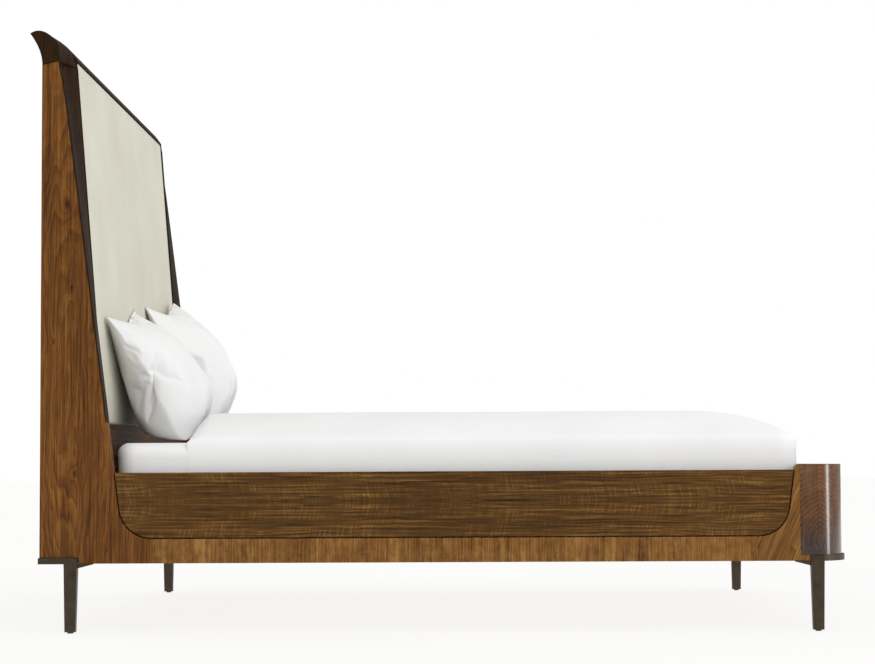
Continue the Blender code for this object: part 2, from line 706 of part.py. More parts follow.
def build_bed():
    clear_scene()
    inside = HALF_WIDTH - SIDE_THICKNESS - GAP
    for word, side in SIDES:
        build_headboard_side("headboard_side_" + word, side)
        build_post("headboard_post_" + word, side)
        build_front_trim("front_trim_" + word, side)
        build_side_rail("side_rail_" + word, side)
        build_sled_rail("sled_rail_" + word, side)
        build_return("footboard_return_" + word, side)
        for end, joint in bracket_joints():
            build_bracket(f"rail_bracket_{end}_{word}", joint, side)
            build_leg(f"leg_{end}_{word}", end, side)
            build_glide(f"glide_{end}_{word}", end, side)
    back = (0.0, BACK_PANEL)
    block("headboard_back_panel", back, (-inside, inside), (WOOD_BOTTOM, SHOULDER_HEIGHT - GAP), WALNUT)
    lower = (LOWER_FACE - LOWER_PANEL, LOWER_FACE)
    block("headboard_lower_panel", lower, (-inside, inside), (WOOD_BOTTOM, PAD_BOTTOM - GAP), WALNUT)
    half = HALF_WIDTH - SIDE_THICKNESS - POST_WIDTH - 2 * GAP
    sill = (lower[0] - GAP - HEAD_SILL[0], lower[0] - GAP)
    block("headboard_sill", sill, (-half, half), (WOOD_BOTTOM, WOOD_BOTTOM + HEAD_SILL[1]), INNER_WOOD)
    build_cross_rail("headboard_rail_bottom", PAD_BOTTOM + GAP, PAD_BOTTOM + GAP + CROSS_RAIL)
    middle = (PAD_BOTTOM + PAD_TOP) / 2
    build_cross_rail("headboard_rail_middle", middle - CROSS_RAIL / 2, middle + CROSS_RAIL / 2)
    build_cross_rail("headboard_rail_top", SHOULDER_HEIGHT - GAP - CROSS_RAIL, SHOULDER_HEIGHT - GAP)
    build_raked_panel("upholstered_panel", 0.0, PAD_THICKNESS, LINEN)
    build_raked_panel("upholstery_board", PAD_THICKNESS + GAP, PAD_BOARD, INNER_WOOD)
    build_crest()
    build_bow()
    build_cap()
    inner = (FOOT_SEAM + INNER_SETBACK, FOOT_SEAM + INNER_SETBACK + INNER_PANEL)
    reach = bow_reach(inner[1], BOW_THICKNESS + GAP)
    block("footboard_inner_panel", inner, (-reach, reach), (WOOD_BOTTOM, FOOT_TOP), WALNUT)
    sole = (inner[1] + GAP, FOOT_FACE - BOW_THICKNESS - GAP)
    half = HALF_WIDTH - BOW_RADIUS
    block("footboard_sill", sole, (-half, half), (WOOD_BOTTOM, WOOD_BOTTOM + FOOT_SILL_HEIGHT), INNER_WOOD)
    build_support()
    side = MATTRESS_THICKNESS - MATTRESS_SHOULDER[0]
    size = (MATTRESS_LENGTH, MATTRESS_WIDTH)
    mattress = build_soft_block("mattress", MATTRESS_HEAD, *size, MATTRESS_BOTTOM, side, MATTRESS_SHOULDER)
    size = (MATTRESS_LENGTH - DUVET_START, MATTRESS_WIDTH - 2 * DUVET_INSET)
    bottom = MATTRESS_TOP + GAP
    duvet = build_soft_block("duvet", MATTRESS_HEAD + DUVET_START, *size, bottom, DUVET_EDGE, DUVET_CROWN)
    duvet.parent = mattress
    build_pillow("pillow_left", mattress, LEFT, LEFT_PILLOW)
    build_pillow("pillow_right", mattress, RIGHT, RIGHT_PILLOW)


build_bed()
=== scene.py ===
"""King-size sleigh bed: veneers, castings, upholstery and bedding, made around the bed's frame.

+X runs from the headboard to the footboard, +Z is up, and the left side of the bed is at -Y.
Lengths are in metres. In the profiles, x is measured from the headboard's rear face and depth
from the bed's side face inwards.
"""

import math

import bmesh
import bpy
import numpy as np
from mathutils import Matrix, Vector


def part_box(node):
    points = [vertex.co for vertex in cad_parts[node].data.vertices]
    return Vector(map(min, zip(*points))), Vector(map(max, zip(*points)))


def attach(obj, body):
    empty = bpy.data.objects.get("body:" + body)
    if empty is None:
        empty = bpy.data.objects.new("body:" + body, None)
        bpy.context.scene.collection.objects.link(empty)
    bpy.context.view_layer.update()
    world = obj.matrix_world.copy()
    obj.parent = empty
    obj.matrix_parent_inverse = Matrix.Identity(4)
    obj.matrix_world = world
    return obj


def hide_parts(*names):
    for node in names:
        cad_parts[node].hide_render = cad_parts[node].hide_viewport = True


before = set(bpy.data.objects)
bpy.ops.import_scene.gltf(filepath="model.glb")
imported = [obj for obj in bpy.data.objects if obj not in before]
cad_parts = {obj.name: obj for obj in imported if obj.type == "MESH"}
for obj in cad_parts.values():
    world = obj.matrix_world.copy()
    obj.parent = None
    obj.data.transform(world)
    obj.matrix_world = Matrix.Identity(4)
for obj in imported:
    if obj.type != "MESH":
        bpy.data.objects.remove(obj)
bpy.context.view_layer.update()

# ---------------------------------------------------------------- places read from the frame

SIDE_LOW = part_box("headboard_side_left")[0]
BOW_LOW, BOW_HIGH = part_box("footboard_panel")
MATTRESS_LOW, MATTRESS_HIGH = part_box("mattress")
DUVET_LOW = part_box("duvet")[0]
REAR_X = SIDE_LOW.x
HALF_WIDTH = -SIDE_LOW.y
SEAM_X = BOW_LOW.x
FACE_X = BOW_HIGH.x

# Headboard profile.
HEAD_DEPTH = 0.218
RAKE = 0.1288
RAKE_START = 0.471
FLARE_START = 1.520
FLARE = 0.216
PAD_DEPTH = 0.163
PAD_RAKE = 0.0795
PAD_BOTTOM = 0.620
PAD_TOP = 1.730
PAD_THICKNESS = 0.035
PAD_CROWN = 0.006
PAD_EDGE = 0.011
SHOULDER = 1.689
SHOULDER_RISE = 0.013
TRIM_WIDTH = 0.140
TRIM_THICKNESS = 0.020
TRIM_EDGE = 0.004
TRIM_LIP = 0.004
SIDE_THICKNESS = 0.040
GAP = 0.0003

# Crest profile.
CREST_OVERHANG = 0.0395
CREST_TIP = 0.097
CREST_SWEEP = 0.47
CREST_NOSE = (0.0565, 0.0717)
CREST_ROLL = ((0.0215, 0.0165), (0.0345, 0.0125))
CREST_DROP = (0.011, 0.013)
CREST_REBATE = 0.0203
CREST_ROUNDING = (0.002, 0.0005, 0.014)
CREST_EASING = (0.001, 0.004, 0.001, 0.002)
CREST_END_RADIUS = 0.0035

# Footboard.
BOW_RADIUS = 0.1355
BOW_THICKNESS = 0.020
BOW_ARRIS = 0.0018
BOW_LEAF = 0.1733

# Boards and castings.
EASED_ARRIS = 0.0012
SIDES = (("left", -1), ("right", 1))

# Bedding.
MATTRESS_CORNER = 0.060
MATTRESS_SHOULDER = 0.034
MATTRESS_FOOT_ROLL = 0.012
DUVET_SKIRT = 0.0032
DUVET_TUCK = 0.15
DUVET_CORNER = 0.062
DUVET_TURN = 0.012
DUVET_THICKNESS = 0.010
DUVET_CROWN = 0.084
DUVET_CROWN_REACH = 0.330
DUVET_CROWN_POWER = 2.2
DUVET_OVERLAP = 0.009
DUVET_HEAD_FADE = 0.055
PILLOW_CUT = (0.66, 0.50)
PILLOW_SIZE = (0.235, 0.645, 0.500)
PILLOW_CLEARANCE = 0.010
CLOTH_CLEARANCE = 0.003

# The eye, and its turn in degrees.
EYE = (REAR_X + 1.2985, -7.4427, 0.4955)
EYE_YAW, EYE_PITCH, EYE_ROLL = -1.0707, 3.4453, -0.2887
EYE_LENS = 89.50

# Veneers: dark, middle and light, as linear colours.
WING_TONES = ((0.026, 0.007, 0.0010), (0.122, 0.042, 0.0050), (0.265, 0.110, 0.020))
PANEL_TONES = ((0.020, 0.008, 0.0010), (0.096, 0.040, 0.0050), (0.255, 0.135, 0.030))
SLED_TONES = ((0.046, 0.015, 0.002), (0.176, 0.074, 0.014), (0.335, 0.172, 0.048))
BOW_TONES = ((0.012, 0.003, 0.0008), (0.112, 0.040, 0.008), (0.285, 0.125, 0.030))

# ---------------------------------------------------------------- meshes


def add_object(name, vertices, faces, material, uv=None, smooth=True, angle=35.0):
    """An object at the origin from vertex positions and face indices, with an optional UV per vertex."""
    data = bpy.data.meshes.new(name)
    data.from_pydata(np.asarray(vertices, float).tolist(), [], [list(map(int, f)) for f in faces])
    data.update()
    if uv is not None:
        layer = data.uv_layers.new(name="UVMap")
        corner = np.empty(len(data.loops), np.int32)
        data.loops.foreach_get("vertex_index", corner)
        layer.data.foreach_set("uv", np.asarray(uv, np.float32)[corner].ravel())
    if smooth:
        data.shade_smooth()
        data.set_sharp_from_angle(angle=math.radians(angle))
    data.materials.append(material)
    item = bpy.data.objects.new(name, data)
    bpy.context.scene.collection.objects.link(item)
    return item


def grid_faces(rows, columns, closed_rows=False, closed_columns=False, start=0):
    """Quads between neighbouring points of a grid, whose rows or columns may join up again."""
    row = np.arange(rows if closed_rows else rows - 1)[:, None]
    column = np.arange(columns if closed_columns else columns - 1)[None, :]
    after_row = (row + 1) % rows
    after_column = (column + 1) % columns
    quads = np.stack([
        row * columns + column,
        row * columns + after_column,
        after_row * columns + after_column,
        after_row * columns + column,
    ], axis=-1)
    return (quads.reshape(-1, 4) + start).tolist()


def point_outwards(item):
    """Turns every face of a closed mesh outwards, by the sign of its volume."""
    data = item.data
    data.calc_loop_triangles()
    count = len(data.loop_triangles)
    corners = np.empty(count * 3, np.int32)
    data.loop_triangles.foreach_get("vertices", corners)
    places = np.empty(len(data.vertices) * 3)
    data.vertices.foreach_get("co", places)
    a, b, c = np.moveaxis(places.reshape(-1, 3)[corners.reshape(-1, 3)], 1, 0)
    if np.einsum("ij,ij->i", a, np.cross(b, c)).sum() < 0:
        data.flip_normals()
    return item


def lofted(name, sections, material, uv=None, angle=35.0):
    """A closed solid: rings of points joined one after another, with a flat face over each end."""
    rings, count = sections.shape[:2]
    faces = grid_faces(rings, count, closed_columns=True)
    faces.append(list(range(count))[::-1])
    faces.append(list(range((rings - 1) * count, rings * count)))
    item = add_object(name, sections.reshape(-1, 3), faces, material, uv, angle=angle)
    return point_outwards(item)


def bezier(points, t):
    """Points at parameters t on the Bezier curve of the control points, by repeated interpolation."""
    level = [np.asarray(p, float)[None, :] * np.ones((len(t), 1)) for p in points]
    while len(level) > 1:
        level = [a + (b - a) * t[:, None] for a, b in zip(level, level[1:])]
    return level[0]


def ease(t):
    """A smooth step from 0 to 1, level at both ends."""
    return t * t * (3.0 - 2.0 * t)


def wander(a, b, wavelength, seed, waves=7):
    """A smooth wandering height from -1 to 1 at places a, b: a sum of sines in seeded directions."""
    generator = np.random.default_rng(seed)
    total = np.zeros(np.broadcast(a, b).shape)
    for _ in range(waves):
        heading = generator.uniform(0, 2 * math.pi)
        rate = 2 * math.pi / (wavelength * generator.uniform(0.6, 1.7))
        phase = generator.uniform(0, 2 * math.pi)
        total += np.sin(rate * (a * math.cos(heading) + b * math.sin(heading)) + phase)
    return total / waves


def side_y(side, depth):
    """The place across the bed at a depth in from one side face."""
    return side * (HALF_WIDTH - depth)


def side_front(z):
    """The side boards' raked front edge, which bends back as the square of the height over the flare."""
    return HEAD_DEPTH - RAKE * (z - RAKE_START) - FLARE * np.maximum(0.0, z - FLARE_START) ** 2


def pad_front(z):
    """The front of the upholstery before its crown: one straight rake."""
    return PAD_DEPTH - PAD_RAKE * (z - PAD_BOTTOM)


def shoulder(x):
    """The joint under the crest: it rises evenly from the rear to the side board's front edge."""
    front = side_front(SHOULDER + SHOULDER_RISE)
    return SHOULDER + SHOULDER_RISE * np.minimum(1.0, x / front)


# ---------------------------------------------------------------- material building


class Shade:
    """A Principled material and short ways to add and join its nodes."""

    def __init__(self, name, roughness, metallic=0.0):
        self.material = bpy.data.materials.new(name)
        self.material.use_nodes = True
        self.tree = self.material.node_tree
        self.shader = self.tree.nodes["Principled BSDF"]
        self.shader.inputs["Roughness"].default_value = roughness
        self.shader.inputs["Metallic"].default_value = metallic

    def add(self, kind, **settings):
        item = self.tree.nodes.new(kind)
        for key, value in settings.items():
            setattr(item, key, value)
        return item

    def join(self, source, target):
        self.tree.links.new(source, target)

    def fill(self, socket, value):
        """Joins another node's output to a socket, or sets a plain value on it."""
        if isinstance(value, bpy.types.NodeSocket):
            self.join(value, socket)
        else:
            socket.default_value = value

    def math(self, operation, *values):
        item = self.add("ShaderNodeMath", operation=operation)
        for socket, value in zip(item.inputs, values):
            self.fill(socket, value)
        return item.outputs[0]

    def place(self, source="Object"):
        return self.add("ShaderNodeTexCoord").outputs[source]

    def mapped(self, vector, scale=(1, 1, 1), location=(0, 0, 0), rotation=(0, 0, 0)):
        item = self.add("ShaderNodeMapping")
        self.join(vector, item.inputs["Vector"])
        item.inputs["Scale"].default_value = scale
        item.inputs["Location"].default_value = location
        item.inputs["Rotation"].default_value = rotation
        return item.outputs[0]

    def parts(self, vector):
        item = self.add("ShaderNodeSeparateXYZ")
        self.join(vector, item.inputs[0])
        return item.outputs

    def vector(self, x, y, z=0.0):
        item = self.add("ShaderNodeCombineXYZ")
        for socket, value in zip(item.inputs, (x, y, z)):
            self.fill(socket, value)
        return item.outputs[0]

    def noise(self, vector, scale=1.0, detail=2.0, rough=0.5, distortion=0.0):
        item = self.add("ShaderNodeTexNoise")
        self.join(vector, item.inputs["Vector"])
        item.inputs["Scale"].default_value = scale
        item.inputs["Detail"].default_value = detail
        item.inputs["Roughness"].default_value = rough
        item.inputs["Distortion"].default_value = distortion
        return item.outputs["Fac"]

    def ramp(self, factor, stops):
        """A colour ramp; stops are (position, grey value or colour)."""
        item = self.add("ShaderNodeValToRGB")
        self.join(factor, item.inputs[0])
        while len(item.color_ramp.elements) < len(stops):
            item.color_ramp.elements.new(0.5)
        for element, (position, colour) in zip(item.color_ramp.elements, stops):
            element.position = position
            tone = (colour, colour, colour) if isinstance(colour, (int, float)) else colour
            element.color = (*tone, 1.0)
        return item.outputs[0]

    def colour(self, socket):
        self.join(socket, self.shader.inputs["Base Color"])

    def bump(self, height, strength, distance):
        item = self.add("ShaderNodeBump")
        item.inputs["Strength"].default_value = strength
        item.inputs["Distance"].default_value = distance
        self.join(height, item.inputs["Height"])
        self.join(item.outputs[0], self.shader.inputs["Normal"])

    def roughness(self, factor, low, high):
        item = self.add("ShaderNodeMapRange")
        self.join(factor, item.inputs["Value"])
        item.inputs["To Min"].default_value = low
        item.inputs["To Max"].default_value = high
        self.join(item.outputs[0], self.shader.inputs["Roughness"])


def veneer(
    name, tones, grain, across, through, pitch=0.016, slope=0.10, centre=0.0, heart=0.0, seed=0.0,
    warp=0.030, contrast=0.5, fibres=1.0, curl=0.0, curl_pitch=0.012, curl_slant=0.35, mottle=0.0,
    knots=(), book=None, leaf=None, source="Object", fade=None, sheen=0.16, tilt=0.0, lacquer=0.0,
):
    """Figured veneer under satin lacquer.

    grain, across and through name the axes along, across and into the sheet. The growth rings
    are level lines of the distance from the log's heart, which leans by slope along the grain,
    so they show as nested arches. The distance wanders with noise stretched along the grain and
    swells round each knot. Fibres and pores are noise stretched much further, curl is noise
    stretched across the grain, which lightens the sheet in bands, and mottle is blotchy noise.
    book mirrors the sheet about a line, leaf mirrors it again at every width of one leaf, and
    tilt turns the grain in the sheet, and fade is painted shade, a darkening by height towards the bottom
    of the sheet. lacquer is the weight of a glossy coat.
    """
    wood = Shade(name, 0.36)
    wood.shader.inputs["Specular IOR Level"].default_value = sheen
    wood.shader.inputs["Coat Weight"].default_value = lacquer
    wood.shader.inputs["Coat Roughness"].default_value = 0.15
    axes = dict(zip("XYZ", wood.parts(wood.place(source))))
    along, side, into = axes[grain], axes[across], axes[through]
    if book is not None:
        side = wood.math("ABSOLUTE", wood.math("SUBTRACT", side, book))
    if leaf is not None:
        side = wood.math("PINGPONG", side, leaf)
    if tilt:
        turned = wood.mapped(wood.vector(along, side, into), rotation=(0.0, 0.0, tilt))
        along, side, into = wood.parts(turned)
    lie = wood.vector(along, side, into)

    def layer(scale, place, detail=3.0, rough=0.6):
        """Noise about its middle value, from a stretched copy of the sheet's own coordinates."""
        value = wood.noise(wood.mapped(lie, scale, place), 1.0, detail, rough)
        return wood.math("SUBTRACT", value, 0.5)

    def weigh(value, amount):
        """A value times an amount."""
        return wood.math("MULTIPLY", value, amount)

    def bell(along_at, side_at, size, sharpness):
        """A smooth rise round one place in the sheet, twice as long as it is wide."""
        length = wood.math("DIVIDE", wood.math("SUBTRACT", along, along_at), 2.0 * size)
        width = wood.math("DIVIDE", wood.math("SUBTRACT", side, side_at), size)
        reach = wood.math("ADD", wood.math("POWER", length, 2.0), wood.math("POWER", width, 2.0))
        return wood.math("POWER", 2.718, wood.math("MULTIPLY", reach, -sharpness))

    drift = weigh(layer((2.6, 8.0, 2.0), (seed, 0.3 * seed, 0.7)), 2.6 * warp)
    ripple = weigh(layer((12.0, 46.0, 9.0), (0.4 * seed, seed, 1.3), 3.0), 0.0075)
    quiver = weigh(layer((60.0, 160.0, 9.0), (seed, 2.0, 4.1), 2.0), 0.0018)
    from_heart = wood.math("ADD", wood.math("SUBTRACT", side, heart), drift)
    lean = wood.math("MULTIPLY", wood.math("SUBTRACT", along, centre), slope)
    squares = wood.math("ADD", wood.math("POWER", from_heart, 2.0), wood.math("POWER", lean, 2.0))
    distance = wood.math("ADD", wood.math("SQRT", squares), wood.math("ADD", ripple, quiver))
    scar = None
    for knot_along, knot_across, size in knots:
        distance = wood.math("ADD", distance, weigh(bell(knot_along, knot_across, size, 1.0), 1.1 * size))
        core = bell(knot_along, knot_across, size, 6.0)
        scar = core if scar is None else wood.math("ADD", scar, core)

    uneven = weigh(layer((1.6, 24.0, 2.0), (0.6 * seed, 5.0, 0), 2.0, 0.5), 3.2)
    turns = wood.math("ADD", wood.math("DIVIDE", distance, pitch), uneven)
    ring = wood.math("FRACT", turns)
    year = [(0.0, 0.55), (0.12, 0.70), (0.55, 0.54), (0.84, 0.24), (0.93, 0.20), (1.0, 0.53)]
    figure = wood.ramp(ring, year)
    thirds = wood.math("FRACT", wood.math("MULTIPLY", turns, 3.0))
    fine = wood.ramp(thirds, [(0.0, 0.5), (0.5, 0.62), (0.9, 0.36), (1.0, 0.5)])
    strength = wood.noise(wood.mapped(lie, (3.0, 17.0, 2.0), (seed, 8.0, 0)), 1.0, 3.0, 0.6)
    strength = wood.ramp(strength, [(0.38, 0.12), (0.62, 1.0)])
    grown = wood.math("MULTIPLY", wood.math("SUBTRACT", figure, 0.5), weigh(strength, contrast))
    tone = wood.math("ADD", grown, 0.5)
    tone = wood.math("ADD", tone, weigh(wood.math("SUBTRACT", fine, 0.5), 0.45 * contrast))
    streams = (
        ((1.3, 11.0, 1.3), (2.0 + seed, 1.0, 0.2), 0.60),
        ((11.0, 620.0, 60.0), (seed, 0.0, 0.0), 0.75 * fibres),
        ((3.6, 190.0, 9.0), (0.0, seed, 0.0), 0.85 * fibres),
        ((1.8, 52.0, 5.0), (3.0, seed, 0.0), 0.50 * fibres),
    )
    for scale, place, amount in streams:
        tone = wood.math("ADD", tone, weigh(layer(scale, place), amount))
    if mottle:
        blotch = layer((26.0, 38.0, 9.0), (seed, 1.0, 0.0), 4.0, 0.7)
        tone = wood.math("ADD", tone, weigh(blotch, mottle))
    if curl:
        slant = wood.math("ADD", weigh(side, curl_slant), along)
        stretched = wood.vector(slant, side, into)
        rate = 1.0 / curl_pitch
        bands = wood.noise(wood.mapped(stretched, (rate, 14.0, 2.0), (seed, 3.1, 0)), 1.0, 3.0, 0.6)
        bands = wood.ramp(bands, [(0.34, 0.0), (0.52, 0.30), (0.70, 1.0)])
        patch = wood.noise(wood.mapped(lie, (4.5, 22.0, 2.0), (1.7, seed, 0)), 1.0, 3.0, 0.6)
        patch = wood.ramp(patch, [(0.40, 0.10), (0.64, 1.0)])
        tone = wood.math("ADD", tone, wood.math("MULTIPLY", wood.math("MULTIPLY", bands, patch), curl))
        tone = wood.math("SUBTRACT", tone, 0.28 * curl)
    if scar is not None:
        tone = wood.math("SUBTRACT", tone, weigh(scar, 0.45))
    # Painted shade: the tone is darkened by height, most at the bottom and none above the upper limit.
    if fade is not None:
        low, high, amount = fade
        shade = wood.add("ShaderNodeMapRange", interpolation_type="SMOOTHSTEP")
        wood.join(axes["Z" if source == "Object" else "Y"], shade.inputs["Value"])
        shade.inputs["From Min"].default_value = low
        shade.inputs["From Max"].default_value = high
        shade.inputs["To Min"].default_value = -amount
        shade.inputs["To Max"].default_value = 0.0
        tone = wood.math("ADD", tone, shade.outputs[0])
    wood.colour(wood.ramp(tone, [(0.02, tones[0]), (0.50, tones[1]), (0.98, tones[2])]))
    pores = wood.noise(wood.mapped(lie, (34.0, 900.0, 300.0), (seed, 0, 0)), 1.0, 1.0, 0.5)
    pores = wood.ramp(pores, [(0.30, 0.0), (0.42, 1.0)])
    wood.bump(pores, 0.12, 0.0002)
    wood.roughness(figure, 0.40, 0.32)
    return wood.material


def wing_walnut():
    """The headboard's sides: a knotty sheet of tall arches, with four marks beside the front edge."""
    marks = ((1.27, 0.079, 0.020), (1.02, 0.092, 0.012), (0.47, 0.104, 0.013), (0.86, 0.039, 0.009))
    return veneer(
        "walnut_wing", WING_TONES, "Z", "X", "Y", pitch=0.0125, slope=0.13, centre=0.70,
        heart=REAR_X + 0.085, seed=1.3, warp=0.040, contrast=0.62, fibres=1.25, mottle=0.25,
        knots=[(z, REAR_X + x, size) for z, x, size in marks],
    )


def panel_walnut():
    """The long side panels: curled quarter-cut sheets, matched about a level line."""
    return veneer(
        "walnut_side_panel", PANEL_TONES, "X", "Z", "Y", pitch=0.012, slope=0.010, centre=0.3,
        heart=-0.02, seed=4.1, warp=0.016, contrast=0.75, fibres=1.25, curl=0.40,
        curl_pitch=0.0055, curl_slant=0.22, mottle=0.20, book=0.385,
    )


def sled_walnut():
    """The sled rails: crossbanding, with its grain upright."""
    return veneer(
        "walnut_crossband", SLED_TONES, "Z", "X", "Y", pitch=0.007, slope=0.05, centre=0.24,
        heart=0.1, seed=7.7, warp=0.02, contrast=0.30, fibres=1.15, mottle=1.0,
    )


def return_walnut():
    """The footboard's returns: a plainer sheet whose grain leans with the sweep."""
    return veneer(
        "walnut_return", SLED_TONES, "Z", "X", "Y", pitch=0.012, slope=0.10, centre=0.10,
        heart=0.55, seed=2.9, warp=0.030, contrast=0.55, mottle=0.30, tilt=math.radians(-24),
    )


def bow_walnut():
    """The bow: crotch leaves matched round the bend under a glossy coat, with painted shade darkening it
    towards the bottom.
    """
    # fade paints shade over the lower part of the bow.
    return veneer(
        "walnut_crotch", BOW_TONES, "Y", "X", "Z", pitch=0.0100, slope=0.80, centre=0.262,
        seed=5.5, warp=0.042, contrast=0.75, fibres=0.55, curl=0.25, curl_pitch=0.014,
        mottle=0.55, leaf=BOW_LEAF, source="UV", fade=(0.215, 0.42, 0.34), lacquer=1.0,
    )


def inner_walnut():
    """The level boards inside the bed: straight plain grain, nearly matt."""
    return veneer(
        "walnut_inner", WING_TONES, "Y", "Z", "X", pitch=0.014, slope=0.01, seed=9.1, warp=0.02,
        sheen=0.03,
    )


def back_walnut():
    """The headboard's back: broad upright arches."""
    return veneer(
        "walnut_back", WING_TONES, "Z", "Y", "X", pitch=0.020, slope=0.05, centre=0.9, seed=3.3,
        warp=0.03,
    )


def timber():
    """Plain pale softwood: stretched noise for the grain, sawn faces a little rough."""
    wood = Shade("pale_timber", 0.7)
    lie = wood.place()
    rings = wood.noise(wood.mapped(lie, (1.5, 26.0, 38.0)), 1.0, 3.0, 0.6, 0.6)
    fibre = wood.noise(wood.mapped(lie, (6.0, 300.0, 300.0)), 1.0, 2.0, 0.6)
    tone = wood.math("ADD", rings, wood.math("MULTIPLY", wood.math("SUBTRACT", fibre, 0.5), 0.35))
    tones = [(0.25, (0.27, 0.16, 0.075)), (0.5, (0.46, 0.32, 0.18)), (0.8, (0.60, 0.46, 0.29))]
    wood.colour(wood.ramp(tone, tones))
    wood.bump(fibre, 0.2, 0.0004)
    return wood.material


def ebonised():
    """Near-black stained wood, satin, with the grain just showing."""
    wood = Shade("ebonised_satin", 0.40)
    wood.shader.inputs["Specular IOR Level"].default_value = 0.03
    lie = wood.place()
    fibre = wood.noise(wood.mapped(lie, (220.0, 9.0, 14.0)), 1.0, 3.0, 0.6)
    cloud = wood.noise(lie, 3.0, 2.0)
    tone = wood.math("ADD", wood.math("MULTIPLY", fibre, 0.6), wood.math("MULTIPLY", cloud, 0.4))
    wood.colour(wood.ramp(tone, [(0.3, (0.013, 0.006, 0.0025)), (0.7, (0.042, 0.021, 0.0085))]))
    wood.bump(fibre, 0.08, 0.0002)
    wood.roughness(cloud, 0.34, 0.46)
    return wood.material


def bronze():
    """Dark patinated bronze: clouded brown, brushed down the length of the leg."""
    metal = Shade("dark_bronze", 0.4, 0.85)
    lie = metal.place()
    cloud = metal.noise(lie, 26.0, 4.0, 0.6)
    brush = metal.noise(metal.mapped(lie, (900.0, 900.0, 14.0)), 1.0, 2.0, 0.5)
    tone = metal.math("ADD", metal.math("MULTIPLY", cloud, 0.7), metal.math("MULTIPLY", brush, 0.3))
    browns = [(0.3, (0.050, 0.038, 0.024)), (0.55, (0.078, 0.061, 0.041)), (0.8, (0.112, 0.088, 0.062))]
    metal.colour(metal.ramp(tone, browns))
    metal.bump(brush, 0.05, 0.0002)
    metal.roughness(cloud, 0.34, 0.50)
    return metal.material


def steel():
    """Zinc-plated sheet steel, faintly clouded."""
    metal = Shade("zinc_plated_steel", 0.4, 1.0)
    cloud = metal.noise(metal.place(), 90.0, 3.0)
    metal.colour(metal.ramp(cloud, [(0.3, (0.26, 0.27, 0.28)), (0.7, (0.42, 0.43, 0.44))]))
    metal.roughness(cloud, 0.30, 0.50)
    return metal.material


def nylon():
    """Matt black nylon."""
    plastic = Shade("black_nylon", 0.55)
    cloud = plastic.noise(plastic.place(), 300.0, 2.0)
    plastic.colour(plastic.ramp(cloud, [(0.3, (0.022, 0.022, 0.023)), (0.7, (0.040, 0.040, 0.041))]))
    plastic.bump(cloud, 0.1, 0.0002)
    return plastic.material


def woven(name, dark, light, pitch, axes, strength, sheen):
    """Plain-woven cloth: two crossed sine waves a thread apart, with slubs and a soft cloudy tone."""
    cloth = Shade(name, 0.85)
    cloth.shader.inputs["Sheen Weight"].default_value = sheen
    cloth.shader.inputs["Sheen Roughness"].default_value = 0.5
    lie = cloth.place()
    parts = dict(zip("XYZ", cloth.parts(lie)))
    waves = []
    for axis in axes:
        angle = cloth.math("MULTIPLY", parts[axis], 2 * math.pi / pitch)
        waves.append(cloth.math("SINE", angle))
    weave = cloth.math("MULTIPLY", waves[0], waves[1])
    slub = cloth.noise(lie, 260.0, 3.0, 0.6)
    cloud = cloth.noise(lie, 3.5, 3.0, 0.5)
    tone = cloth.math("MULTIPLY_ADD", weave, 0.10, cloud)
    tone = cloth.math("ADD", tone, cloth.math("MULTIPLY", cloth.math("SUBTRACT", slub, 0.5), 0.5))
    cloth.colour(cloth.ramp(tone, [(0.25, dark), (0.75, light)]))
    height = cloth.math("ADD", cloth.math("MULTIPLY", weave, 0.5), slub)
    cloth.bump(height, strength, 0.0006)
    return cloth.material


def floor_finish():
    """A pale even floor that glows a little, so that it stays nearly white under the bed's soft shadow."""
    paint = Shade("pale_floor", 0.9)
    paint.shader.inputs["Specular IOR Level"].default_value = 0.0
    cloud = paint.noise(paint.place(), 0.7, 2.0)
    paint.colour(paint.ramp(cloud, [(0.3, (0.10, 0.10, 0.10)), (0.7, (0.11, 0.11, 0.11))]))
    paint.shader.inputs["Emission Color"].default_value = (1.0, 0.995, 0.985, 1.0)
    paint.shader.inputs["Emission Strength"].default_value = 0.86
    return paint.material


# ---------------------------------------------------------------- pieces


def eased_copy(node, material):
    """A CAD board with its arrises eased: its mesh merged, flat faces joined, then a small bevel."""
    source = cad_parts[node]
    data = source.data.copy()
    data.name = node + "_eased"
    item = bpy.data.objects.new(node + "_eased", data)
    bpy.context.scene.collection.objects.link(item)
    mesh = bmesh.new()
    mesh.from_mesh(data)
    bmesh.ops.remove_doubles(mesh, verts=mesh.verts, dist=0.00002)
    bmesh.ops.dissolve_limit(
        mesh, angle_limit=math.radians(1.0), verts=mesh.verts, edges=mesh.edges,
        use_dissolve_boundaries=False,
    )
    mesh.to_mesh(data)
    mesh.free()
    data.materials.clear()
    data.materials.append(material)
    data.shade_smooth()
    data.set_sharp_from_angle(angle=math.radians(35))
    bevel = item.modifiers.new("eased_arrises", "BEVEL")
    bevel.width = EASED_ARRIS
    bevel.segments = 2
    bevel.limit_method = "ANGLE"
    bevel.angle_limit = math.radians(40)
    bevel.harden_normals = True
    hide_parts(node)
    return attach(item, "frame")


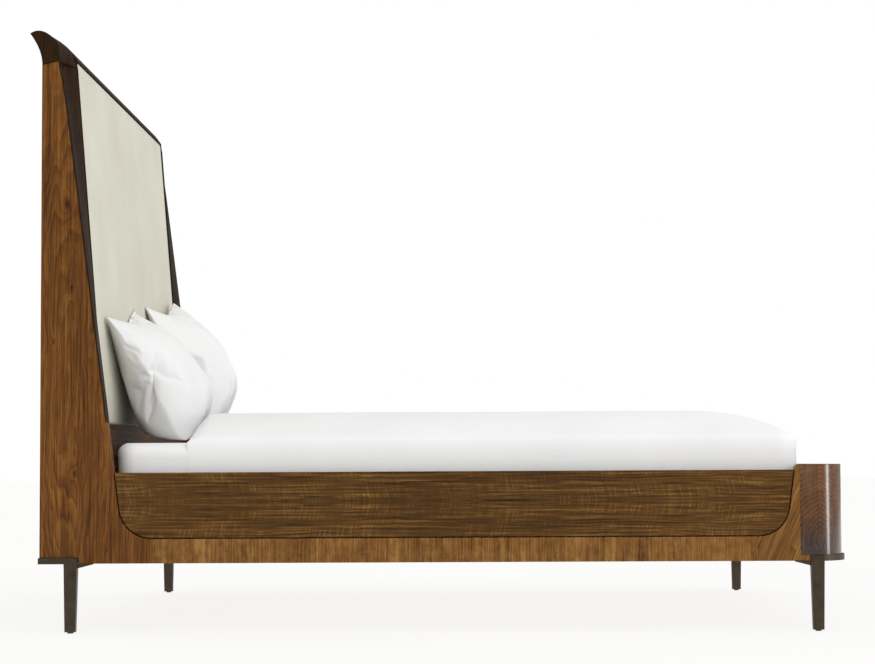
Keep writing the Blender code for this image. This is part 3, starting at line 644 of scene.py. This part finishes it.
def crest_outline(share, lip, rebate):
    """The crest's section: a hollow sweep up the rear, a rolled top, a drooping nose and a flat seat.

    The sweep, the roll and the droop are Bezier curves. share is 1 at the crest's ends, where
    the section is a little smaller, and 0 along its middle.
    """
    joint = SHOULDER + GAP
    tip_in, tip_down, nose_in = (value * share for value in CREST_ROUNDING)
    rise, run, fall, bulge = (value * share for value in CREST_EASING)
    tip = np.array([tip_in - CREST_OVERHANG, joint + CREST_TIP - tip_down])
    nose = np.array([CREST_NOSE[0] - nose_in, joint + CREST_NOSE[1]])
    rear = bezier([(0.0, joint), (0.0, joint + CREST_TIP * CREST_SWEEP), tip], np.linspace(0, 1, 25))
    roll_in = tip + (CREST_ROLL[0][0], CREST_ROLL[0][1] - rise)
    roll_out = (nose[0] - CREST_ROLL[1][0] + run, tip[1] + CREST_ROLL[1][1] - fall)
    over = bezier([tip, roll_in, roll_out, nose], np.linspace(0, 1, 33))
    swell = nose + (CREST_DROP[0] - bulge, -CREST_DROP[1])
    drop = bezier([nose, swell, lip], np.linspace(0, 1, 17))
    seat = np.array([rebate, (CREST_REBATE, shoulder(CREST_REBATE) + GAP)])
    return np.concatenate([rear[:-1], over[:-1], drop, seat])


def make_crest(material):
    """The crest rail: its section carried across the bed, softened over a hand's width at each end."""
    bottom = SHOULDER + SHOULDER_RISE + GAP
    front = side_front(bottom)
    span = TRIM_WIDTH - 4 * GAP
    half = []
    for part in np.linspace(0.0, 1.0, 22):
        blend = ease(part)
        lip = (front + 2 * GAP + (pad_front(bottom) + TRIM_LIP - front) * blend, bottom)
        outline = crest_outline(1.0 - blend, lip, (front, bottom))
        half.append((part * span, outline))
    lip = (pad_front(PAD_TOP) + TRIM_LIP, PAD_TOP)
    half.append((span + GAP, crest_outline(0.0, lip, (CREST_REBATE + GAP, PAD_TOP))))
    first = half[0][1]
    middle = first.mean(axis=0)
    ends = []
    for angle in np.linspace(0, math.pi / 2, 6)[:-1]:
        inset = CREST_END_RADIUS * (1 - math.sin(angle))
        reach = np.linalg.norm(first - middle, axis=1, keepdims=True)
        drawn = middle + (first - middle) * (1 - inset / np.maximum(reach, 0.012))
        ends.append((CREST_END_RADIUS * (1 - math.cos(angle)), drawn))
    half = ends + [(max(depth, CREST_END_RADIUS), outline) for depth, outline in half]
    sections = []
    for side, stations in ((-1, half), (1, half[::-1])):
        for depth, outline in stations:
            y = np.full(len(outline), side_y(side, depth))
            sections.append(np.stack([REAR_X + outline[:, 0], y, outline[:, 1]], axis=-1))
    item = lofted("crest", np.array(sections), material, angle=42.0)
    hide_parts("crest_rail")
    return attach(item, "frame")


def make_front_trim(word, side, material):
    """The dark stile: its face eases from the side board's edge to a small bead beside the cloth."""
    top = SHOULDER + SHOULDER_RISE
    heights = np.linspace(top, PAD_BOTTOM, 90)
    edge, inner = SIDE_THICKNESS + GAP, TRIM_WIDTH - GAP
    across = np.linspace(0, 1, 34)
    bead = 0.0028 * np.exp(-(((across - 0.955) / 0.022) ** 2))
    quirk = 0.0022 * np.exp(-(((across - 0.905) / 0.018) ** 2))
    sections = []
    for z in heights:
        outer, inside = side_front(z), pad_front(z) + TRIM_LIP
        face_x = outer + (inside - outer) * ease(across) + bead - quirk
        face_depth = edge + (inner - edge) * across
        x = np.concatenate([[outer - TRIM_EDGE, outer], face_x, [
            inside - TRIM_THICKNESS, min(outer, inside) - TRIM_THICKNESS - TRIM_EDGE, outer - TRIM_EDGE,
        ]])
        depth = np.concatenate([[0.0, 0.0], face_depth, [inner, edge, edge]])
        height = np.minimum(z, shoulder(x))
        sections.append(np.stack([REAR_X + x, side_y(side, depth), height], axis=-1))
    item = lofted("front_stile_" + word, np.array(sections), material, angle=50.0)
    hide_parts("front_trim_" + word)
    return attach(item, "frame")


def spaced(length, edge, fine, coarse):
    """Places from -length/2 to length/2, fine near both ends and coarse between."""
    near = np.arange(0.0, edge, fine)
    middle = np.linspace(edge, length - edge, max(2, int((length - 2 * edge) / coarse)))
    return np.concatenate([near, middle, length - near[::-1]]) - length / 2


def rounded_grid(length, width, corner, edge, fine, coarse, square_start=False):
    """A grid over a rectangle with round corners: in each corner, squares turn into quarter rings.

    Gives each point's place and its distance from the outline. With a square start, the first
    two corners stay square and that end doesn't count as outline.
    """
    a, b = np.meshgrid(spaced(length, edge, fine, coarse), spaced(width, edge, fine, coarse), indexing="ij")
    core_a = np.clip(a, -length / 2 if square_start else corner - length / 2, length / 2 - corner)
    core_b = np.clip(b, corner - width / 2, width / 2 - corner)
    out_a, out_b = a - core_a, b - core_b
    size = np.hypot(out_a, out_b)
    square = np.maximum(np.abs(out_a), np.abs(out_b))
    shrink = np.where(size > 0, square / np.maximum(size, 1e-9), 1.0)
    a, b = core_a + out_a * shrink, core_b + out_b * shrink
    from_ends = length / 2 - (a if square_start else np.abs(a))
    inner = np.minimum(from_ends, width / 2 - np.abs(b))
    distance = np.where((out_a != 0) & (out_b != 0), corner - square, inner)
    return a, b, np.maximum(distance, 0.0)


def rim(rows, columns):
    """Indices round the border of a grid, in order."""
    index = np.arange(rows * columns).reshape(rows, columns)
    return np.concatenate([index[0, :-1], index[:-1, -1], index[-1, :0:-1], index[:0:-1, 0]])


def slab_mesh(name, top, layers, material, uv=None, angle=35.0):
    """Closes a domed grid with rings of points that run down from its border, and a flat base."""
    rows, columns = top.shape[:2]
    border = rim(rows, columns)
    count = len(border)
    vertices = [top.reshape(-1, 3)]
    faces = grid_faces(rows, columns)
    before = border
    start = rows * columns
    for layer in layers:
        vertices.append(layer)
        ring = np.arange(start, start + count)
        quads = np.stack([before, ring, np.roll(ring, -1), np.roll(before, -1)], axis=-1)
        faces += quads.tolist()
        before = ring
        start += count
    faces.append(before.tolist())
    return point_outwards(add_object(name, np.concatenate(vertices), faces, material, uv, angle=angle))


def make_upholstery(material):
    """The upholstered panel: a slightly crowned face, rolled over at its edges by a quarter circle."""
    width = 2 * (HALF_WIDTH - TRIM_WIDTH - GAP)
    low, high = PAD_BOTTOM + GAP, PAD_TOP - GAP
    across, up, distance = rounded_grid(width, high - low, 0.016, 0.030, 0.0016, 0.024)
    z = up + (low + high) / 2
    roll = PAD_EDGE - np.sqrt(np.maximum(0.0, PAD_EDGE**2 - np.maximum(0.0, PAD_EDGE - distance) ** 2))
    swell = PAD_CROWN * (1 - np.exp(-distance / 0.05))
    tension = 0.0006 * wander(across, up, 0.45, 3) * np.clip(distance / 0.06, 0, 1)
    x = pad_front(z) - roll + swell + tension
    top = np.stack([REAR_X + x, across, z], axis=-1)
    border = top.reshape(-1, 3)[rim(*top.shape[:2])]
    back = border.copy()
    back[:, 0] = REAR_X + pad_front(border[:, 2]) - PAD_THICKNESS
    item = slab_mesh("headboard_cushion", top, [back], material)
    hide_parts("upholstered_panel")
    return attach(item, "frame")


def make_mattress(material):
    """The mattress in its fitted cover: round corners and a quarter-circle shoulder over upright sides.

    The sides draw in a little towards the foot, where they turn under by a small quarter circle.
    """
    length, width = MATTRESS_HIGH.x - MATTRESS_LOW.x, MATTRESS_HIGH.y - MATTRESS_LOW.y
    centre = (MATTRESS_HIGH.x + MATTRESS_LOW.x) / 2
    corner, radius, foot = MATTRESS_CORNER, MATTRESS_SHOULDER, MATTRESS_FOOT_ROLL
    a, b, distance = rounded_grid(length, width, corner, 0.062, 0.0035, 0.05)
    roll = radius - np.sqrt(np.maximum(0.0, radius**2 - np.maximum(0.0, radius - distance) ** 2))
    z = MATTRESS_HIGH.z - roll - 0.0006 * (1 + wander(a, b, 0.3, 5))
    top = np.stack([centre + a, b, z], axis=-1)
    border = top.reshape(-1, 3)[rim(*top.shape[:2])]
    outward = border[:, :2] - np.stack([
        np.clip(border[:, 0], MATTRESS_LOW.x + corner, MATTRESS_HIGH.x - corner),
        np.clip(border[:, 1], MATTRESS_LOW.y + corner, MATTRESS_HIGH.y - corner),
    ], axis=-1)
    outward /= np.maximum(np.linalg.norm(outward, axis=1, keepdims=True), 1e-9)
    layers = []
    for z in np.linspace(MATTRESS_HIGH.z - radius, MATTRESS_LOW.z + foot, 14)[1:]:
        share = (MATTRESS_HIGH.z - z) / (MATTRESS_HIGH.z - MATTRESS_LOW.z)
        ring = border.copy()
        slack = 0.0012 * (1 + wander(border[:, 0] + border[:, 1], 3 * z, 0.35, 8)) + 0.003 * share
        ring[:, :2] -= outward * slack[:, None]
        ring[:, 2] = z
        layers.append(ring)
    lowest = layers[-1]
    for angle in np.linspace(0, math.pi / 2, 5)[1:]:
        ring = lowest.copy()
        ring[:, :2] -= outward * foot * (1 - math.cos(angle))
        ring[:, 2] = MATTRESS_LOW.z + foot * (1 - math.sin(angle))
        layers.append(ring)
    item = slab_mesh("mattress_in_cover", top, layers, material)
    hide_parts("mattress")
    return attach(item, "mattress")


def make_duvet(material):
    """The smooth duvet, tucked in at the sides and foot, its head edge lying open on the mattress.

    From the outline it turns over a small quarter circle, then rises as one minus a power of the
    remaining distance to a level crown; at the head edge the rise fades in the same way. A skirt
    runs down between the mattress and the rails.
    """
    skirt, turn, corner = DUVET_SKIRT, DUVET_TURN, DUVET_CORNER
    low_x, high_x = DUVET_LOW.x - DUVET_OVERLAP, MATTRESS_HIGH.x + skirt
    half = MATTRESS_HIGH.y + skirt
    length, width = high_x - low_x, 2 * half
    a, b, distance = rounded_grid(length, width, corner, 0.060, 0.005, 0.018, square_start=True)
    from_head = a + length / 2
    b = b * (1 - (skirt - 0.0008) / half * (1 - np.clip(from_head / 0.25, 0, 1)) ** 2)
    level = MATTRESS_HIGH.z + GAP
    roll = turn - np.sqrt(np.maximum(0.0, turn**2 - np.maximum(0.0, turn - distance) ** 2))
    rise = 1 - np.maximum(0.0, 1 - distance / DUVET_CROWN_REACH) ** DUVET_CROWN_POWER
    fade = np.sqrt(np.maximum(0.0, 1 - np.maximum(0.0, 1 - from_head / DUVET_HEAD_FADE) ** 2))
    folds = 0.0020 * wander(a, 1.4 * b, 0.55, 11) + 0.0010 * wander(1.6 * a, b, 0.16, 12)
    folds += 0.0022 * wander(0.25 * a, b, 0.09, 13) * np.exp(-distance / 0.12)
    folds *= np.clip(distance / 0.10, 0, 1)
    z = level + fade * (DUVET_THICKNESS + DUVET_CROWN * rise - roll + folds)
    top = np.stack([(low_x + high_x) / 2 + a, b, z], axis=-1)
    index = rim(*top.shape[:2])
    border = top.reshape(-1, 3)[index]
    open_edge = from_head.ravel()[index] < 1e-6
    outward = np.stack([
        border[:, 0] - np.clip(border[:, 0], low_x, high_x - corner),
        border[:, 1] - np.clip(border[:, 1], corner - half, half - corner),
    ], axis=-1)
    outward /= np.maximum(np.linalg.norm(outward, axis=1, keepdims=True), 1e-9)
    inside = border.copy()
    inside[:, :2] -= outward * (skirt - 0.0006)
    layers = []
    for depth in np.linspace(0.2, 1.0, 5) * DUVET_TUCK:
        ring = border.copy()
        pleat = 0.0008 * wander(ring[:, 0] + ring[:, 1], depth, 0.22, 14)
        ring[:, :2] += (inside[:, :2] - ring[:, :2]) * (0.35 + 200 * pleat[:, None])
        ring[:, 2] = np.where(open_edge, level, level - depth)
        layers.append(ring)
    hem = inside.copy()
    hem[:, 2] = np.where(open_edge, level, level - DUVET_TUCK)
    under = inside.copy()
    under[:, 2] = level
    layers += [hem, under]
    item = slab_mesh("duvet_cover", top, layers, material, angle=60.0)
    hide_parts("duvet")
    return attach(item, "mattress")


def bow_path(inset, count):
    """The bow's plan from one end to the other: a short leaf, a round corner, a straight face, and back."""
    radius = BOW_RADIUS - inset
    centre_x = FACE_X - BOW_RADIUS
    start = math.asin(max(0.0, SEAM_X - centre_x) / BOW_RADIUS)
    angle = np.linspace(start, math.pi / 2, count)
    x = centre_x + radius * np.sin(angle)
    y = BOW_RADIUS - HALF_WIDTH - radius * np.cos(angle)
    x, y = np.concatenate([[SEAM_X], x]), np.concatenate([[y[0]], y])
    return np.stack([np.concatenate([x, x[::-1]]), np.concatenate([y, -y[::-1]])], axis=-1)


def make_footboard(material):
    """The bowed panel: a bent skin with softly rounded arrises; U follows the bend and V is the height."""
    low, high = BOW_LOW.z, BOW_HIGH.z
    turn = np.linspace(0, math.pi / 2, 5)
    from_face = BOW_ARRIS * (1 - np.cos(turn))
    from_top = BOW_ARRIS * (1 - np.sin(turn))
    section_depth = np.concatenate([
        from_face, BOW_THICKNESS - from_face[::-1], [BOW_THICKNESS, 0.0],
    ])
    section_z = np.concatenate([high - from_top, high - from_top[::-1], [low, low]])
    rings = []
    for inset, z in zip(section_depth, section_z):
        plan = bow_path(inset, 40)
        rings.append(np.column_stack([plan, np.full(len(plan), z)]))
    sections = np.moveaxis(np.array(rings), 0, 1)
    outer = bow_path(0.0, 40)
    run = np.concatenate([[0.0], np.cumsum(np.linalg.norm(np.diff(outer, axis=0), axis=1))])
    uv = np.stack([np.repeat(run - run[-1] / 2, len(section_z)), sections[..., 2].ravel()], axis=-1)
    item = lofted("footboard_bow", sections, material, uv)
    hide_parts("footboard_panel")
    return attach(item, "frame")


def inflate(name, width, height, pressure, frames, seed, material):
    """A pillow before it is placed: two flat sheets sewn round their border, blown up as cloth.

    The sheets are cut a little barrel-shaped, so that the sides draw in to nearly straight and
    the four corners stay pointed.
    """
    columns, rows = 74, 54
    across, up = np.meshgrid(np.linspace(-1, 1, columns), np.linspace(-1, 1, rows), indexing="xy")
    puff = 0.010 * (1 - across**2) ** 0.5 * (1 - up**2) ** 0.5
    puff += 0.002 * wander(across, up, 0.5, seed) * (1 - across**2) * (1 - up**2)
    y, z = across * width / 2 * (1.09 - 0.09 * up**2), up * height / 2 * (1.10 - 0.10 * across**2)
    front = np.stack([puff, y, z], axis=-1).reshape(-1, 3)
    back = np.stack([-puff, y, z], axis=-1).reshape(-1, 3)
    index = np.arange(rows * columns).reshape(rows, columns)
    edge = np.ones((rows, columns), bool)
    edge[1:-1, 1:-1] = False
    behind = np.full(rows * columns, -1)
    free = index[~edge]
    behind[free] = rows * columns + np.arange(len(free))
    behind[index[edge]] = index[edge]
    faces = grid_faces(rows, columns)
    faces += behind[np.array(faces)][:, ::-1].tolist()
    vertices = np.concatenate([front, back[free]])
    item = add_object(name, vertices, faces, material, angle=180.0)
    point_outwards(item)
    cloth = item.modifiers.new("blown_up", "CLOTH")
    cloth.settings.quality = 7
    cloth.settings.mass = 0.25
    cloth.settings.tension_stiffness = 22
    cloth.settings.compression_stiffness = 22
    cloth.settings.shear_stiffness = 9
    cloth.settings.bending_stiffness = 0.35
    cloth.settings.air_damping = 4.0
    cloth.settings.use_pressure = True
    cloth.settings.uniform_pressure_force = pressure
    cloth.settings.effector_weights.gravity = 0.0
    cloth.collision_settings.use_self_collision = False
    cloth.point_cache.frame_start = 1
    cloth.point_cache.frame_end = frames
    for number in range(1, frames + 1):
        bpy.context.scene.frame_set(number)
    graph = bpy.context.evaluated_depsgraph_get()
    settled = bpy.data.meshes.new_from_object(item.evaluated_get(graph))
    item.modifiers.remove(cloth)
    item.data = settled
    bpy.context.scene.frame_set(1)
    return item


def make_pillow(word, seed, lean, roll, yaw, place, material):
    """A pillow leaning on the headboard: blown up, sized, crumpled, turned, then set down.

    It is thicker towards its foot and its upper edge sags in the middle. What would sink into
    the bedding is pressed up, and what would pass into the upholstery is pressed forward.
    """
    item = inflate("bed_pillow_" + word, *PILLOW_CUT, 5.0, 26, seed, material)
    count = len(item.data.vertices)
    places = np.empty(count * 3)
    item.data.vertices.foreach_get("co", places)
    places = places.reshape(-1, 3)
    size = places.max(0) - places.min(0)
    places *= np.array(PILLOW_SIZE) / size
    x, y, z = places.T
    across, up = y / 0.322, z / 0.250
    x = x * (1.0 - 0.40 * up) + 0.022 * (1 - up**2)
    z = z - 0.012 * (1 - across**2) * np.clip(up, 0, 1) ** 2
    crumple = 0.0022 * wander(y, z, 0.085, seed + 1) + 0.0012 * wander(y, z, 0.04, seed + 2)
    x = x + crumple * np.clip(1 - up**2, 0, 1)
    places = np.stack([x, y, z], axis=-1)
    turn = Matrix.Rotation(-math.radians(lean), 3, "Y") @ Matrix.Rotation(math.radians(roll), 3, "X")
    turn = Matrix.Rotation(math.radians(yaw), 3, "Z") @ turn
    places = places @ np.array(turn).T + (REAR_X + place[0], place[1], place[2])
    rest = MATTRESS_HIGH.z + PILLOW_CLEARANCE
    below = np.maximum(0.0, rest + 0.035 - places[:, 2])
    places[:, 2] += below**2 / (below + 0.05) * 0.9
    places[:, 2] = np.maximum(places[:, 2], rest)
    wall = REAR_X + pad_front(places[:, 2]) + PAD_CROWN + CLOTH_CLEARANCE
    places[:, 0] = np.maximum(places[:, 0], wall)
    item.data.vertices.foreach_set("co", places.ravel())
    item.data.update()
    smooth = item.modifiers.new("fine_cloth", "SUBSURF")
    smooth.levels = 1
    smooth.render_levels = 1
    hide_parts("pillow_" + word)
    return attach(item, "pillow_" + word)


def make_bracket_bolts(material):
    """Domed bolt heads on the rail brackets: one turned profile, repeated in fours."""
    crown_rise = 0.0052
    radius = np.array([0.0045, 0.0078, 0.0090, 0.0090])
    rise = np.array([0.0050, 0.0036, 0.0018, 0.0])
    rings, sectors = len(radius), 12
    turn = np.linspace(0, 2 * math.pi, sectors, endpoint=False)
    vertices, faces = [], []
    for end in ("head", "foot"):
        for word, side in SIDES:
            low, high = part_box(f"rail_bracket_{end}_{word}")
            face = high.y if side < 0 else low.y
            for x in (low.x + 0.016, low.x + 0.048, high.x - 0.048, high.x - 0.016):
                start = sum(len(v) for v in vertices)
                centre = np.array([x, face, (low.z + high.z) / 2])
                ring = np.stack([
                    centre[0] + radius[:, None] * np.cos(turn),
                    centre[1] - side * rise[:, None] * np.ones_like(turn),
                    centre[2] + radius[:, None] * np.sin(turn),
                ], axis=-1)
                crown = centre + (0.0, -side * crown_rise, 0.0)
                vertices.append(np.concatenate([ring.reshape(-1, 3), crown[None, :]]))
                tip = start + rings * sectors
                walls = grid_faces(rings, sectors, closed_columns=True, start=start)
                walls.append(list(range(tip - sectors, tip)))
                fan = [[start + k, start + (k + 1) % sectors, tip] for k in range(sectors)]
                if side < 0:
                    faces += [face[::-1] for face in walls] + fan
                else:
                    faces += walls + [face[::-1] for face in fan]
    item = add_object("bracket_bolts", np.concatenate(vertices), faces, material)
    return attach(item, "frame")


# ---------------------------------------------------------------- the setting


def place_camera():
    """A level eye a little above the mattress, to the left of the bed and square to its side."""
    data = bpy.data.cameras.new("bedside_camera")
    data.sensor_width = 36.0
    data.lens = EYE_LENS
    data.clip_end = 200.0
    item = bpy.data.objects.new("bedside_camera", data)
    bpy.context.scene.collection.objects.link(item)
    yaw, pitch, roll = math.radians(EYE_YAW), math.radians(EYE_PITCH), math.radians(EYE_ROLL)
    forward = np.array([math.sin(yaw) * math.cos(pitch), math.cos(yaw) * math.cos(pitch), math.sin(pitch)])
    level = np.array([math.cos(yaw), -math.sin(yaw), 0.0])
    above = np.cross(level, forward)
    right = math.cos(roll) * level + math.sin(roll) * above
    up = -math.sin(roll) * level + math.cos(roll) * above
    turn = Matrix(np.column_stack([right, up, -forward]).tolist()).to_4x4()
    item.matrix_world = Matrix.Translation(EYE) @ turn
    bpy.context.scene.camera = item


def place_light(name, location, target, size, power):
    """A rectangular soft box, turned towards its target."""
    data = bpy.data.lights.new(name, "AREA")
    data.shape = "RECTANGLE"
    data.size, data.size_y = size
    data.energy = power
    item = bpy.data.objects.new(name, data)
    bpy.context.scene.collection.objects.link(item)
    item.location = location
    heading = Vector(target) - item.location
    item.rotation_euler = heading.to_track_quat("-Z", "Y").to_euler()
    item.visible_camera = False
    return item


def set_stage():
    """A pale floor and white surround, soft even light, and a tall soft box past the foot of the bed.

    Polished faces meet a dimmer surround than the white one behind the bed, as in a room with
    dark flags, so that they keep their depth of colour.
    """
    reach = 60.0
    corners = [(-reach, -reach, 0), (reach, -reach, 0), (reach, reach, 0), (-reach, reach, 0)]
    add_object("studio_floor", corners, [[0, 1, 2, 3]], floor_finish(), smooth=False)
    scene = bpy.context.scene
    scene.view_settings.view_transform = "Standard"
    world = bpy.data.worlds.new("studio")
    world.use_nodes = True
    background = world.node_tree.nodes["Background"]
    background.inputs["Color"].default_value = (1.0, 1.0, 1.0, 1.0)
    rays = world.node_tree.nodes.new("ShaderNodeLightPath")
    dim = world.node_tree.nodes.new("ShaderNodeMapRange")
    dim.inputs["To Min"].default_value = 1.0
    dim.inputs["To Max"].default_value = 0.30
    world.node_tree.links.new(rays.outputs["Is Glossy Ray"], dim.inputs["Value"])
    world.node_tree.links.new(dim.outputs[0], background.inputs["Strength"])
    scene.world = world
    data = bpy.data.lights.new("soft_overhead", "SUN")
    data.energy = 0.55
    data.angle = math.radians(70)
    overhead = bpy.data.objects.new("soft_overhead", data)
    overhead.rotation_euler = (math.radians(42), math.radians(26), 0.0)
    scene.collection.objects.link(overhead)
    place_light("foot_softbox", (REAR_X + 5.6, -1.45, 0.95), (FACE_X, -1.0, 0.4), (0.46, 1.8), 26)


def dress():
    """Puts up the setting, then makes every piece and gives the plain CAD pieces their finishes."""
    place_camera()
    set_stage()
    wing, rail, sled, turned = wing_walnut(), panel_walnut(), sled_walnut(), return_walnut()
    bow, inner, back = bow_walnut(), inner_walnut(), back_walnut()
    pale, dark, cast = timber(), ebonised(), bronze()
    plated, pads = steel(), nylon()
    cloth = woven("upholstery_weave", (0.575, 0.555, 0.455), (0.655, 0.64, 0.535), 0.0016, "YZ", 0.25, 0.08)
    cotton = woven("bed_cotton", (0.76, 0.76, 0.76), (0.81, 0.81, 0.81), 0.0011, "XY", 0.12, 0.1)

    for word, side in SIDES:
        eased_copy("headboard_side_" + word, wing)
        eased_copy("side_rail_" + word, rail)
        eased_copy("sled_rail_" + word, sled)
        eased_copy("footboard_return_" + word, turned)
        make_front_trim(word, side, dark)
        for end in ("head", "foot"):
            eased_copy(f"leg_{end}_{word}", cast)
    eased_copy("footboard_cap", inner)
    eased_copy("footboard_inner_panel", inner)
    eased_copy("headboard_lower_panel", inner)
    eased_copy("headboard_back_panel", back)
    make_crest(dark)
    make_upholstery(cloth)
    make_footboard(bow)
    make_mattress(cotton)
    make_duvet(cotton)
    make_pillow("left", 21, 29.0, 7.0, 0.0, (0.250, -0.414, 0.772), cotton)
    make_pillow("right", 31, 23.0, 7.0, -3.0, (0.240, 0.440, 0.850), cotton)
    make_bracket_bolts(plated)
    finishes = (
        ("slat_", pale), ("centre_beam", pale), ("headboard_post", pale), ("headboard_sill", pale),
        ("headboard_rail", pale), ("upholstery_board", pale), ("footboard_sill", pale),
        ("rail_bracket", plated), ("beam_hanger", plated), ("glide", pads),
    )
    for name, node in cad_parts.items():
        for start, material in finishes:
            if name.startswith(start):
                node.data.materials.clear()
                node.data.materials.append(material)


dress()
